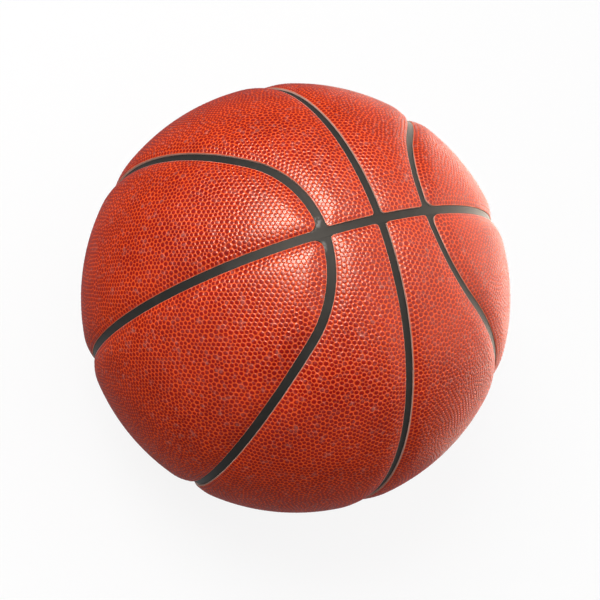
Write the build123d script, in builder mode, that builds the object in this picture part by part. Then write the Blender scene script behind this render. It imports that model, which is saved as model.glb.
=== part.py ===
from build123d import *
import math
import os

# A size 7 basketball: eight cushioned cover panels on a thread-wound, rubber-coated bladder, with black seam
# strips in the channels between the panels and a replaceable needle valve.
#
# The origin is the ball's centre. The long seam is the great circle in the YZ plane, the middle seam is the one
# in the XZ plane, and the two loop seams go round +Y and -Y. The long and middle seams cross at the top, +Z, and
# at the bottom. The two planes cut the ball into four quarters that are alike, and a loop divides each quarter
# into a loop panel, inside the loop, and a side panel, between the loop and the middle seam.

# Overall size, over the crowns of the panels
ball_diameter = 242.0

# Layers, from the outside in, with the film of cement that bonds each one to the next
cover_thickness = 1.8
pad_thickness = 1.2
carcass_thickness = 0.9
winding_thickness = 0.6
bladder_thickness = 0.6
cement_film = 0.15

# Seam layout: where a loop crosses the long seam, measured over the crown from the top of the ball, and the
# angle in degrees between the long seam and the loop's straight sides
loop_offset = 29.6
loop_tilt = 45.3

# Channel between two panels, with widths measured square to the seam. The entry is the share of a panel's drop to
# the channel that is an even slope, and the rest steepens towards the edge.
strip_width = 4.3
strip_thickness = 0.6
strip_dish = 0.1
strip_floor_width = 2.2
strip_clearance = 0.1
cover_edge_height = 1.0
cover_roll_width = 9.5
roll_entry = 0.24
loop_corner_radius = 4.5
side_corner_radius = 1.5

# Sponge pad under each panel: set back from the panel's edge and skived to a thin edge
pad_setback = 3.0
pad_bevel = 4.0
pad_edge = 0.3

# Valve: its turn from +Y towards -X in degrees, the seat bonded into the bladder, and the core pushed into it
valve_turn = 30.0
seat_neck_radius = 5.0
seat_neck_recess = 0.3
seat_flange_radius = 13.0
seat_flange_thickness = 1.4
seat_stem_radius = 5.5
seat_stem_length = 14.0
seat_floor_thickness = 2.4
air_hole_radius = 1.0
core_head_radius = 3.3
core_head_height = 3.2
core_shank_radius = 2.4
core_end_clearance = 1.55
core_nose = 0.8
core_clearance = 0.05
needle_bore_radius = 1.05
needle_bore_depth = 9.0
needle_mouth = 0.7
cover_hole_clearance = 0.3

# Radii of the layers
ball_radius = ball_diameter / 2
cover_inner = ball_radius - cover_thickness
pad_outer = cover_inner - cement_film
pad_inner = pad_outer - pad_thickness
carcass_outer = pad_inner - cement_film
carcass_inner = carcass_outer - carcass_thickness
winding_outer = carcass_inner - cement_film
winding_inner = winding_outer - winding_thickness
bladder_outer = winding_inner - cement_film
bladder_inner = bladder_outer - bladder_thickness

# Channel sizes that follow from those above. A panel's cut edge and the strips stand on the carcass, so they
# start at the same radius as the pads.
slot_half_width = strip_width / 2 + strip_clearance
edge_depth = ball_radius - pad_inner
roll_drop = edge_depth - cover_edge_height

# The quarters, as turns of the one at +X +Y
quarter_turns = {
    "rear_right": (0, 0, 0),
    "rear_left": (0, 180, 0),
    "front_right": (180, 0, 0),
    "front_left": (0, 0, 180),
}
valve_quarter = "rear_left"

# Cutters reach this far past the layer that they cut, and a roll by this share of its width past its two ends
overcut = 1.0
roll_overrun = 0.12

centre = Vector(0, 0, 0)
right = Vector(1, 0, 0)
rear = Vector(0, 1, 0)
top = Vector(0, 0, 1)


def section_point(lateral: float, radius: float) -> tuple[float, float]:
    """Point of a seam's section, from its distance beside the seam and its radius from the centre."""
    return (math.sqrt(radius**2 - lateral**2), lateral)


def mirrored_section(side_points: list[tuple[float, float]]) -> Sketch:
    """Section with straight walls through (lateral, radius) points on one side and their mirror images."""
    walls = [section_point(lateral, radius) for lateral, radius in side_points]
    walls += [section_point(-lateral, radius) for lateral, radius in reversed(side_points)]
    with BuildSketch() as section:
        with BuildLine():
            Polyline(*walls, close=True)
        make_face()
    return section.sketch


def roll_point(side: int, share: float) -> tuple[float, float]:
    """Point of the roll on one side of the seam, from its share of the way down, 0 at the crown, 1 at the edge."""
    lateral = slot_half_width + cover_roll_width * (1 - share)
    depth = roll_drop * (roll_entry * share + (1 - roll_entry) * share**2)
    return section_point(side * lateral, ball_radius - depth)


def roll_section() -> Sketch:
    """Section of what the cover loses where its edges roll down to the channel."""
    outer_lateral = slot_half_width + cover_roll_width
    with BuildSketch() as section:
        with BuildLine():
            left_roll = ThreePointArc(*[roll_point(-1, share) for share in (-roll_overrun, 0.5, 1 + roll_overrun)])
            right_roll = ThreePointArc(*[roll_point(1, share) for share in (-roll_overrun, 0.5, 1 + roll_overrun)])
            Line(left_roll @ 1, right_roll @ 1)
            Polyline(
                left_roll @ 0,
                section_point(-outer_lateral, ball_radius + overcut),
                section_point(outer_lateral, ball_radius + overcut),
                right_roll @ 0,
            )
        make_face()
    return section.sketch


def strip_section() -> Sketch:
    """Section of a seam strip, whose top slopes down from both edges to a flat floor."""
    strip_top = pad_inner + strip_thickness
    walls = [
        (strip_width / 2, pad_inner),
        (strip_width / 2, strip_top),
        (strip_floor_width / 2, strip_top - strip_dish),
    ]
    return mirrored_section(walls)


def half_loop() -> list[tuple[Vector, Vector, float]]:
    """Arcs of the +X half of the loop round +Y, each with its start, its axis and its sweep in degrees.

    The straight sides are great circles through the top of the ball. An end arc touches both of them, so its
    radius and its centre follow from the loop's offset and tilt.
    """
    offset = loop_offset / ball_radius
    tilt = math.radians(loop_tilt)
    end_radius = math.atan2(math.sin(offset) * math.sin(tilt), 1 - math.cos(offset) * math.sin(tilt))
    end_centre = offset + end_radius
    end_sweep = math.degrees(math.atan2(1, math.tan(tilt) * math.cos(end_centre)))
    side_start = math.atan(math.tan(end_centre) * math.cos(tilt))
    side_sweep = 180 - 2 * math.degrees(side_start)
    side_direction = Vector(math.sin(tilt), math.cos(tilt), 0)
    upper_touch = top * math.cos(side_start) + side_direction * math.sin(side_start)
    lower_touch = Vector(upper_touch.X, upper_touch.Y, -upper_touch.Z)
    upper_crossing = Vector(0, math.sin(offset), math.cos(offset))
    upper_axis = Vector(0, math.sin(end_centre), math.cos(end_centre))
    lower_axis = Vector(0, math.sin(end_centre), -math.cos(end_centre))
    return [
        (upper_crossing, upper_axis, end_sweep),
        (upper_touch, top.cross(side_direction), side_sweep),
        (lower_touch, lower_axis, end_sweep),
    ]


long_seam = [(rear, right, 360)]
middle_seam = [(right, rear, 360)]
right_middle_seam = [(top, rear, 180)]
loop_seam = half_loop()


def along(seam: list[tuple[Vector, Vector, float]], section: Sketch) -> Part:
    """Solid of a section carried along a seam's arcs."""
    with BuildPart() as carried:
        for start, axis_direction, sweep in seam:
            with BuildSketch(Plane(centre, x_dir=start, z_dir=axis_direction.cross(start))):
                add(section)
            revolve(axis=Axis(centre, axis_direction), revolution_arc=sweep)
    return carried.part


def cut_quarter(inner_radius: float, outer_radius: float, section: Sketch) -> tuple[Solid, Solid]:
    """Quarter of a spherical layer, cut along its seams into its side piece and its loop piece."""
    channels = [along(seam, section) for seam in (long_seam, middle_seam, loop_seam)]
    with BuildPart() as quarter:
        Sphere(outer_radius, arc_size3=90, align=None)
        Sphere(inner_radius, mode=Mode.SUBTRACT)
        add(channels, mode=Mode.SUBTRACT)
    side_piece, loop_piece = quarter.solids().sort_by(Axis.Y)
    return side_piece, loop_piece


def pad_pieces(growth: float) -> tuple[Solid, Solid]:
    """Side and loop pads, or the hollows for them when grown by the cement film."""
    foot = slot_half_width + pad_setback - growth
    edge_top = pad_inner + pad_edge + growth
    crown = foot + pad_bevel
    inner_radius = pad_inner - growth
    outer_radius = pad_outer + growth
    slope = pad_bevel / (pad_thickness - pad_edge)
    walls = [
        (foot, inner_radius - overcut),
        (foot, edge_top),
        (crown + slope * overcut, outer_radius + overcut),
    ]
    return cut_quarter(inner_radius, outer_radius, mirrored_section(walls))


def cover_panel(blank: Solid, hollow: Solid, corner_radius: float) -> Part:
    """Cover panel with round corners, edges rolled down to the channel and a hollow for its pad."""
    rolls = [along(seam, roll_section()) for seam in (long_seam, middle_seam, loop_seam)]
    with BuildPart() as panel:
        add(blank)
        beside_long_seam = panel.edges().filter_by_position(Axis.X, 0, 2 * slot_half_width)
        corner_edges = beside_long_seam.filter_by(lambda edge: edge.length < 2 * edge_depth)
        for corner in [edge.center() for edge in corner_edges]:
            fillet(panel.edges().sort_by_distance(corner)[0], radius=corner_radius)
        add(rolls, mode=Mode.SUBTRACT)
        add(hollow, mode=Mode.SUBTRACT)
    return panel.part


def cut_valve_hole(radius: float) -> None:
    """Cut a round hole along the valve axis out of the piece in hand."""
    with Locations(valve_plane):
        Cylinder(
            radius,
            ball_radius + overcut,
            align=(Align.CENTER, Align.CENTER, Align.MIN),
            mode=Mode.SUBTRACT,
        )


def write_piece(piece: Part, name: str) -> None:
    """Label a finished piece and write it under its name."""
    piece.label = name
    export_step(piece, f"parts/{name}.step")


os.makedirs("parts", exist_ok=True)

# Valve axis: a plane through the centre whose Z points out of the ball at the valve
valve_direction = Vector(-math.sin(math.radians(valve_turn)), math.cos(math.radians(valve_turn)), 0)
valve_plane = Plane(centre, x_dir=top, z_dir=valve_direction)
valve_section = Plane(centre, x_dir=top, z_dir=top.cross(valve_direction))
neck_hole_radius = seat_neck_radius + cement_film
cover_hole_radius = core_head_radius + cover_hole_clearance

# Heights along the valve axis, from the centre
neck_top = pad_outer - seat_neck_recess
head_seat = neck_top - core_head_height / 2
head_bottom = head_seat + core_clearance
head_top = head_bottom + core_head_height
flange_outer = bladder_inner - cement_film
stem_bottom = flange_outer - seat_flange_thickness - seat_stem_length
bore_floor = stem_bottom + seat_floor_thickness
shank_bottom = bore_floor + core_end_clearance

# Inner layers, each a closed shell with a hole for the valve's neck
inner_layers = {
    "bladder": (bladder_outer, bladder_inner),
    "thread_winding": (winding_outer, winding_inner),
    "carcass": (carcass_outer, carcass_inner),
}
for name, (outer_radius, inner_radius) in inner_layers.items():
    with BuildPart() as layer:
        Sphere(outer_radius)
        Sphere(inner_radius, mode=Mode.SUBTRACT)
        cut_valve_hole(neck_hole_radius)
    write_piece(layer.part, name)

# Valve seat: neck through the layers, flange bonded under the bladder, and stem inside it
neck_bore_radius = core_shank_radius + core_clearance
head_bore_radius = core_head_radius + core_clearance
flange_turn = math.asin(seat_flange_radius / flange_outer)
flange_inner = flange_outer - seat_flange_thickness
neck_foot = math.sqrt(flange_outer**2 - seat_neck_radius**2)
flange_middle = (math.asin(seat_neck_radius / flange_outer) + flange_turn) / 2
stem_turn = math.asin(seat_stem_radius / flange_inner)
flange_under = (stem_turn + flange_turn) / 2
with BuildPart() as valve_seat:
    with BuildSketch(valve_section):
        with BuildLine():
            Polyline(
                (head_bore_radius, neck_top),
                (seat_neck_radius, neck_top),
                (seat_neck_radius, neck_foot),
            )
            flange_top = ThreePointArc(
                (seat_neck_radius, neck_foot),
                (flange_outer * math.sin(flange_middle), flange_outer * math.cos(flange_middle)),
                (flange_outer * math.sin(flange_turn), flange_outer * math.cos(flange_turn)),
            )
            flange_bottom = ThreePointArc(
                (flange_inner * math.sin(flange_turn), flange_inner * math.cos(flange_turn)),
                (flange_inner * math.sin(flange_under), flange_inner * math.cos(flange_under)),
                (seat_stem_radius, flange_inner * math.cos(stem_turn)),
            )
            Line(flange_top @ 1, flange_bottom @ 0)
            Polyline(
                flange_bottom @ 1,
                (seat_stem_radius, stem_bottom),
                (air_hole_radius, stem_bottom),
                (air_hole_radius, bore_floor),
                (neck_bore_radius, bore_floor),
                (neck_bore_radius, head_seat),
                (head_bore_radius, head_seat),
                (head_bore_radius, neck_top),
            )
        make_face()
    revolve(axis=Axis(centre, valve_direction))
write_piece(valve_seat.part, "valve_seat")

# Valve core: a rubber plug with a head, a shank and a blind bore for the pump's needle
with BuildPart() as valve_core:
    with BuildSketch(valve_section):
        with BuildLine():
            Polyline(
                (0, head_top - needle_bore_depth),
                (needle_bore_radius, head_top - needle_bore_depth),
                (needle_bore_radius, head_top - needle_mouth),
                (needle_bore_radius + needle_mouth, head_top),
                (core_head_radius, head_top),
                (core_head_radius, head_bottom),
                (core_shank_radius, head_bottom),
                (core_shank_radius, shank_bottom + core_nose),
                (core_shank_radius - core_nose, shank_bottom),
                (0, shank_bottom),
                close=True,
            )
        make_face()
    revolve(axis=Axis(centre, valve_direction))
write_piece(valve_core.part, "valve_core")

# Seam strips: the long one is a closed ring, and the others are cut back to its sides
long_ring = along(long_seam, strip_section())
with BuildPart() as long_strip:
    add(long_ring)
write_piece(long_strip.part, "seam_strip_long")

room_walls = [(slot_half_width, pad_inner - overcut), (slot_half_width, ball_radius + overcut)]
room_section = mirrored_section(room_walls)
long_strip_room = along(long_seam, room_section)
middle_half = along(right_middle_seam, strip_section())
loop_half = along(loop_seam, strip_section())

for name, turn in {"right": (0, 0, 0), "left": (0, 0, 180)}.items():
    with BuildPart() as middle_strip:
        add(middle_half, rotation=turn)
        add(long_strip_room, mode=Mode.SUBTRACT)
    write_piece(middle_strip.part, f"seam_strip_middle_{name}")

for name, turn in quarter_turns.items():
    with BuildPart() as loop_strip:
        add(loop_half, rotation=turn)
        add(long_strip_room, mode=Mode.SUBTRACT)
    write_piece(loop_strip.part, f"seam_strip_loop_{name}")

# Sponge pads and cover panels: one of each kind, turned into the four quarters
side_pad, loop_pad = pad_pieces(0)
side_hollow, loop_hollow = pad_pieces(cement_film)
side_blank, loop_blank = cut_quarter(pad_inner, ball_radius, room_section)
side_panel = cover_panel(side_blank, side_hollow, side_corner_radius)
loop_panel = cover_panel(loop_blank, loop_hollow, loop_corner_radius)

for name, turn in quarter_turns.items():
    for kind, pad, panel in (("side", side_pad, side_panel), ("loop", loop_pad, loop_panel)):
        has_valve = kind == "loop" and name == valve_quarter
        with BuildPart() as foam_pad:
            add(pad, rotation=turn)
            if has_valve:
                cut_valve_hole(neck_hole_radius)
        write_piece(foam_pad.part, f"foam_pad_{kind}_{name}")
        with BuildPart() as cover:
            add(panel, rotation=turn)
            if has_valve:
                cut_valve_hole(cover_hole_radius)
        write_piece(cover.part, f"cover_panel_{kind}_{name}")
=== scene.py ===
import logging
import math
from dataclasses import dataclass, field
from enum import Enum
from functools import cached_property
from typing import Union

import bpy
import numpy as np
from mathutils import Matrix, Vector
from mathutils.geometry import delaunay_2d_cdt


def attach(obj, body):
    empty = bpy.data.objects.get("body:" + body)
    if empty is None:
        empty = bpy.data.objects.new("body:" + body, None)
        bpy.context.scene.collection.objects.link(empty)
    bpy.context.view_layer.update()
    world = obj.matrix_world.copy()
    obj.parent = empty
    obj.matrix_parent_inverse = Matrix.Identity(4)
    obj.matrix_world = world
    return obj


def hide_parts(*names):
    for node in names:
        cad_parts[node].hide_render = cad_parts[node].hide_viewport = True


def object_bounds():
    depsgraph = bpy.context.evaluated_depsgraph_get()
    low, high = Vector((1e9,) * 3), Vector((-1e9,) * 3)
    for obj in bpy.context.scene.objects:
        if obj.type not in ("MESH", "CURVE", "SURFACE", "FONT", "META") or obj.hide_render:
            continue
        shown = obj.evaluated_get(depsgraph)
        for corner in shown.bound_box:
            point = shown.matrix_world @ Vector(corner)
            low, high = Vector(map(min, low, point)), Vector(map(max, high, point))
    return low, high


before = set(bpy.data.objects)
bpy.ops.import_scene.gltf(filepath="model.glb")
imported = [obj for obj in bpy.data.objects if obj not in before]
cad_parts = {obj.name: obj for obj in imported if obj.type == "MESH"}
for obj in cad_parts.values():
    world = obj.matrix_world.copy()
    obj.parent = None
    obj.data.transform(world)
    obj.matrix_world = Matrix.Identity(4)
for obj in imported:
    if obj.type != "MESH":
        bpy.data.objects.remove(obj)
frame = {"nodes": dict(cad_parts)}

# Looks of a basketball: pebbled cover panels, rubber seam strips, valve and inner layers. The frame is the
# ball's own, from its centre. The long seam is the great circle in the YZ plane, the middle seam the one in
# the XZ plane, and the loops go round +Y and -Y. Lengths are in millimetres until a mesh is written.

CAD_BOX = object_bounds()
MM = 0.001
TINY = 1e-9
LOG = logging.getLogger("basketball")
RIGHT, REAR, TOP = np.eye(3)

Number = Union[float, "Signal"]
Colour = tuple[float, float, float, float]
Place = tuple[float, float, float]
Span = tuple[float, float]


class Signal:
    """Socket of a material that takes part in Python arithmetic, each sum adding a Math node."""

    def __init__(self, shader: "Shader", socket: bpy.types.NodeSocket) -> None:
        """Keep the socket and the shader that it belongs to."""
        self.shader = shader
        self.socket = socket

    def _math(self, operation: str, first: Number, second: Number) -> "Signal":
        """Math node on two values."""
        return self.shader.node("ShaderNodeMath", {"operation": operation}, {0: first, 1: second})

    def __add__(self, other: Number) -> "Signal":
        """This value plus another."""
        return self._math("ADD", self, other)

    def __radd__(self, other: Number) -> "Signal":
        """Another value plus this one."""
        return self._math("ADD", other, self)

    def __sub__(self, other: Number) -> "Signal":
        """This value less another."""
        return self._math("SUBTRACT", self, other)

    def __rsub__(self, other: Number) -> "Signal":
        """Another value less this one."""
        return self._math("SUBTRACT", other, self)

    def __mul__(self, other: Number) -> "Signal":
        """This value times another."""
        return self._math("MULTIPLY", self, other)

    def __rmul__(self, other: Number) -> "Signal":
        """Another value times this one."""
        return self._math("MULTIPLY", other, self)

    def between(self, low: float, high: float) -> "Signal":
        """Smooth step from 0 at low to 1 at high."""
        limits = {"Value": self, "From Min": low, "From Max": high}
        return self.shader.node("ShaderNodeMapRange", {"interpolation_type": "SMOOTHSTEP"}, limits)


class Shader:
    """Node tree in the making, with one method for any node and a few short ways to the common ones."""

    def __init__(self, owner: Union[bpy.types.Material, bpy.types.World]) -> None:
        """Start with no nodes.

        Args:
            owner: material or surroundings that the tree belongs to.
        """
        self.owner = owner
        self.owner.use_nodes = True
        self.tree = self.owner.node_tree
        self.tree.nodes.clear()

    @classmethod
    def named(cls, name: str) -> "Shader":
        """Shader of a new material."""
        return cls(bpy.data.materials.new(name))

    def node(self, kind: str, settings: dict, inputs: dict, output: Union[int, str] = 0) -> Signal:
        """Add a node.

        Args:
            kind: Blender's name of the node type.
            settings: properties of the node, set first.
            inputs: values or signals for its sockets, by name or number.
            output: the output socket that is wanted.

        Returns:
            The output as a signal.
        """
        made = self.tree.nodes.new(kind)
        for name, value in settings.items():
            setattr(made, name, value)
        for name, value in inputs.items():
            if isinstance(value, Signal):
                self.tree.links.new(value.socket, made.inputs[name])
            else:
                made.inputs[name].default_value = value
        return Signal(self, made.outputs[output])

    def place(self) -> Signal:
        """Place on the ball, in metres from its centre."""
        return self.node("ShaderNodeTexCoord", {}, {}, "Object")

    def kept(self, name: str) -> Signal:
        """Value kept at the mesh's vertices under that name."""
        return self.node("ShaderNodeAttribute", {"attribute_name": name}, {}, "Fac")

    def noise(self, place: Signal, scale: float, detail: float = 2.0) -> Signal:
        """Noise from 0 to 1, with that many cells to the metre."""
        return self.node("ShaderNodeTexNoise", {}, {"Vector": place, "Scale": scale, "Detail": detail}, "Fac")

    def mix(self, share: Number, first: Union[Colour, Signal], second: Union[Colour, Signal]) -> Signal:
        """Colour between two others, the second at a share of 1."""
        return self.node("ShaderNodeMix", {"data_type": "RGBA"}, {0: share, 6: first, 7: second}, 2)

    def bump(self, height: Signal, strength: float, depth: float) -> Signal:
        """Normal roughened by a height, with the depth in millimetres."""
        inputs = {"Height": height, "Strength": strength, "Distance": depth * MM}
        return self.node("ShaderNodeBump", {}, inputs)

    def measure(self, operation: str, first: Signal, second: Place) -> Signal:
        """Number worked out from two vectors, such as their distance."""
        return self.node("ShaderNodeVectorMath", {"operation": operation}, {0: first, 1: second}, "Value")

    def either(self, first: Signal, second: Signal) -> Signal:
        """The greater of two values."""
        return self.node("ShaderNodeMath", {"operation": "MAXIMUM"}, {0: first, 1: second})

    def bright_rays(self) -> Signal:
        """Which rays show the surroundings as they are seen.

        Returns:
            1 for rays from the camera, in reflections and through clear materials, and 0 for the rest.
        """
        kinds = ("Camera", "Glossy", "Transmission")
        rays = [self.node("ShaderNodeLightPath", {}, {}, f"Is {kind} Ray") for kind in kinds]
        camera, glossy, through = rays
        return self.either(self.either(camera, glossy), through)

    def principled(self, inputs: dict) -> bpy.types.Material:
        """Finish the material with a Principled surface that has these sockets set or linked."""
        return self.finished(self.node("ShaderNodeBsdfPrincipled", {}, inputs))

    def finished(self, surface: Signal, end: str = "ShaderNodeOutputMaterial") -> bpy.types.ID:
        """Finish the tree.

        Args:
            surface: what the tree gives.
            end: Blender's name of the type of its output node.

        Returns:
            The material or surroundings that it belongs to.
        """
        output = self.tree.nodes.new(end)
        self.tree.links.new(surface.socket, output.inputs["Surface"])
        return self.owner


@dataclass(frozen=True)
class PebbledLeather:
    """Composite leather of the cover: dark red pebble tops on a brighter orange network, a painted rim
    highlight.

    Cells are those of a noise, to the metre, and a span is where a mask goes from 0 to 1.
    """

    name: str = "pebbled_cover"
    network: Colour = (0.87, 0.098, 0.016, 1.0)
    network_deep: Colour = (0.79, 0.080, 0.012, 1.0)
    network_span: Span = (0.35, 0.68)
    pebble: Colour = (0.30, 0.004, 0.001, 1.0)
    pebble_light: Colour = (0.39, 0.008, 0.002, 1.0)
    pebble_span: Span = (0.3, 0.7)
    top_span: Span = (0.17, 0.45)
    # Pale colour at the cut edge and rim of each panel: a painted highlight.
    painted_rim_highlight: Colour = (0.92, 0.56, 0.46, 1.0)
    rim_highlight_span: Span = (0.0, 0.55)
    rim_highlight_ragged: float = 0.5
    dye_cells: float = 45.0
    patch_cells: float = 330.0
    patch_share: float = 0.30
    grain_cells: float = 1500.0
    grain_share: float = 0.20
    grain_strength: float = 0.12
    grain_depth: float = 0.10
    network_roughness: float = 0.52
    pebble_roughness: float = 0.44
    grain_roughness: float = 0.10
    sheen: float = 0.04
    sheen_tint: Colour = (1.0, 0.80, 0.70, 1.0)
    gloss: float = 0.30
    gloss_roughness: float = 0.23
    gloss_kept: float = 0.07
    gloss_fade: Span = (0.13, 0.45)

    def material(self) -> bpy.types.Material:
        """Colours and sheen that follow the pebble value of the mesh, with a painted rim highlight, broken by
        noise.

        A thin gloss lies over both, which fades where the surface is seen at a low angle.

        Returns:
            The material.
        """
        shader = Shader.named(self.name)
        place = shader.place()
        dye = shader.noise(place, self.dye_cells, detail=3.0)
        grain = shader.noise(place, self.grain_cells, detail=2.0)
        patches = shader.noise(place, self.patch_cells, detail=1.0)
        raised = shader.kept("pebble") + self.grain_share * (grain - 0.5)
        top = (raised + self.patch_share * (patches - 0.5)).between(*self.top_span)
        valley = shader.mix(dye.between(*self.network_span), self.network, self.network_deep)
        pebble = shader.mix(dye.between(*self.pebble_span), self.pebble_light, self.pebble)
        hide = shader.mix(top, valley, pebble)
        # Painted highlight: the cut edge and the rim take a pale colour, broken up by noise.
        edge = (shader.kept("rim") + self.rim_highlight_ragged * (patches - 0.5)).between(*self.rim_highlight_span)
        roughness = self.network_roughness - (self.network_roughness - self.pebble_roughness) * top
        facing = shader.node("ShaderNodeLayerWeight", {}, {"Blend": 0.5}, "Facing")
        low_angle = facing.between(*self.gloss_fade)
        inputs = {
            "Base Color": shader.mix(edge, hide, self.painted_rim_highlight),
            "Roughness": roughness + self.grain_roughness * (grain - 0.5),
            "Normal": shader.bump(grain, self.grain_strength, self.grain_depth),
            "Specular IOR Level": self.sheen,
            "Specular Tint": self.sheen_tint,
            "Coat Weight": self.gloss * (1 - (1 - self.gloss_kept) * low_angle),
            "Coat Roughness": self.gloss_roughness,
        }
        return shader.principled(inputs)


@dataclass(frozen=True)
class SeamRubber:
    """Matt black rubber of the strips, with faint marks of handling and smudges of cement at two corners."""

    name: str = "seam_rubber"
    rubber: Colour = (0.020, 0.021, 0.020, 1.0)
    rubbed: Colour = (0.030, 0.031, 0.030, 1.0)
    cement: Colour = (0.30, 0.29, 0.28, 1.0)
    smudges: tuple[Place, ...] = (
        (-6.8, -29.6, 114.5),
        (-5.0, -30.5, 114.3),
        (-3.4, -33.4, 113.8),
        (5.4, -31.2, 114.1),
        (7.4, -31.6, 113.9),
    )
    smudge_reach: float = 2.4
    smudge_core: float = 0.25
    smudge_share: float = 0.6
    smudge_cells: float = 620.0
    smudge_span: Span = (0.36, 0.56)
    mark_cells: float = 120.0
    mark_span: Span = (0.45, 0.75)
    grain_cells: float = 1800.0
    grain_strength: float = 0.2
    grain_depth: float = 0.10
    roughness: float = 0.60
    mark_roughness: float = 0.16
    sheen: float = 0.08

    def material(self) -> bpy.types.Material:
        """Rubbed patches from a broad noise, and smudges from the distance to their places, broken by noise.

        Returns:
            The material.
        """
        shader = Shader.named(self.name)
        place = shader.place()
        marks = shader.noise(place, self.mark_cells, detail=4.0)
        grain = shader.noise(place, self.grain_cells, detail=2.0)
        colour = shader.mix(marks.between(*self.mark_span), self.rubber, self.rubbed)
        reach = self.smudge_reach * MM
        for spot in self.smudges:
            centre = tuple(length * MM for length in spot)
            near = shader.measure("DISTANCE", place, centre).between(reach, self.smudge_core * reach)
            ragged = near * shader.noise(place, self.smudge_cells, detail=3.0).between(*self.smudge_span)
            colour = shader.mix(ragged * self.smudge_share, colour, self.cement)
        inputs = {
            "Base Color": colour,
            "Roughness": self.roughness + self.mark_roughness * (marks - 0.5),
            "Normal": shader.bump(grain, self.grain_strength, self.grain_depth),
            "Specular IOR Level": self.sheen,
        }
        return shader.principled(inputs)


@dataclass(frozen=True)
class InnerFinish:
    """Finish of a layer inside the ball: a colour that varies a little, with a fine surface grain."""

    name: str
    colour: Colour
    varied: Colour
    roughness: float
    cells: float
    grain_depth: float
    grain_strength: float = 0.35
    grain_roughness: float = 0.15
    broad_share: float = 0.12
    colour_span: Span = (0.3, 0.7)
    sheen: float = 0.10

    def material(self) -> bpy.types.Material:
        """Colour from a broad noise, and roughness and bump from a fine one.

        Returns:
            The material.
        """
        shader = Shader.named(self.name)
        place = shader.place()
        broad = shader.noise(place, self.broad_share * self.cells, detail=3.0)
        fine = shader.noise(place, self.cells, detail=2.0)
        inputs = {
            "Base Color": shader.mix(broad.between(*self.colour_span), self.colour, self.varied),
            "Roughness": self.roughness + self.grain_roughness * (fine - 0.5),
            "Normal": shader.bump(fine, self.grain_strength, self.grain_depth),
            "Specular IOR Level": self.sheen,
        }
        return shader.principled(inputs)


@dataclass(frozen=True)
class WoundThread:
    """Thread winding: fine pale strands that cross in two directions, with painted shade between them."""

    name: str = "wound_thread"
    thread: Colour = (0.62, 0.60, 0.54, 1.0)
    shade: Colour = (0.34, 0.32, 0.28, 1.0)
    strands: float = 320.0
    turns: tuple[Place, Place] = ((0.6, 0.4, 0.2), (-0.5, 0.9, 1.1))
    waver: float = 0.8
    relief: float = 0.3
    relief_strength: float = 0.6
    valley_roughness: float = 0.85
    strand_roughness: float = 0.70

    def material(self) -> bpy.types.Material:
        """Two crossed sets of sine bands, one turned to the other, with the higher strand on top.

        Returns:
            The material.
        """
        shader = Shader.named(self.name)
        place = shader.place()
        sets = []
        for turn in self.turns:
            turned = shader.node("ShaderNodeMapping", {}, {"Vector": place, "Rotation": turn})
            bands = {"Vector": turned, "Scale": self.strands, "Distortion": self.waver, "Detail": 1.0}
            sets.append(shader.node("ShaderNodeTexWave", {"bands_direction": "X"}, bands, "Fac"))
        strand = shader.either(*sets)
        smoother = self.valley_roughness - self.strand_roughness
        inputs = {
            # Painted shade: the valleys between the strands take the darker colour.
            "Base Color": shader.mix(strand, self.shade, self.thread),
            "Roughness": self.valley_roughness - smoother * strand,
            "Normal": shader.bump(strand, self.relief_strength, self.relief),
        }
        return shader.principled(inputs)


class Quarter(Enum):
    """Quarter of the ball, as the signs that a half turn gives the axes of the one at +X +Y."""

    REAR_RIGHT = (1, 1, 1)
    REAR_LEFT = (-1, 1, -1)
    FRONT_RIGHT = (1, -1, -1)
    FRONT_LEFT = (-1, -1, 1)

    @property
    def label(self) -> str:
        """Name of the quarter in the names of the pieces."""
        return self.name.lower()

    def turned(self, points: np.ndarray) -> np.ndarray:
        """Points of the +X +Y quarter turned into this one."""
        return points * np.array(self.value)


class PanelKind(Enum):
    """Kind of cover panel: inside a loop, or between a loop and the middle seam."""

    LOOP = "loop"
    SIDE = "side"

    @property
    def roll_drop(self) -> float:
        """How far the rim lies under the crown, in millimetres: the side panels keep a fuller edge."""
        return 2.15 if self is PanelKind.LOOP else 1.5


def unit(vectors: np.ndarray) -> np.ndarray:
    """Vectors brought to a length of 1."""
    return vectors / np.linalg.norm(vectors, axis=-1, keepdims=True)


def towards(start: np.ndarray, goal: np.ndarray, angle: float) -> np.ndarray:
    """Direction at an angle from start, on the great circle from start to goal."""
    side = unit(goal - (goal @ start) * start)
    return math.cos(angle) * start + math.sin(angle) * side


def spaced(loop: np.ndarray, gap: float) -> np.ndarray:
    """Closed line of directions divided evenly.

    Args:
        loop: directions close together along the line, the last one next to the first.
        gap: distance wanted between neighbours, as an angle.

    Returns:
        Directions at equal steps along the line.
    """
    closed = np.vstack([loop, loop[:1]])
    along = np.concatenate([[0.0], np.cumsum(np.linalg.norm(np.diff(closed, axis=0), axis=1))])
    count = max(8, round(along[-1] / gap))
    steps = np.linspace(0.0, along[-1], count, endpoint=False)
    return unit(np.stack([np.interp(steps, along, closed[:, axis]) for axis in range(3)], axis=1))


def rounded_gap(first: np.ndarray, second: np.ndarray, radius: float) -> np.ndarray:
    """Distance to the nearer of two walls, with the corner between them rounded.

    Where either distance is under the radius, the result is the radius less the length of the two shortfalls
    taken as the sides of a right angle; elsewhere it is the lesser distance.

    Args:
        first: distances to one wall.
        second: distances to the other wall.
        radius: radius of the rounded corner.

    Returns:
        The distances.
    """
    short = np.hypot(np.maximum(radius - first, 0.0), np.maximum(radius - second, 0.0))
    nearer = np.minimum(first, second)
    return np.where(nearer < radius, radius - short, nearer)


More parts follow.
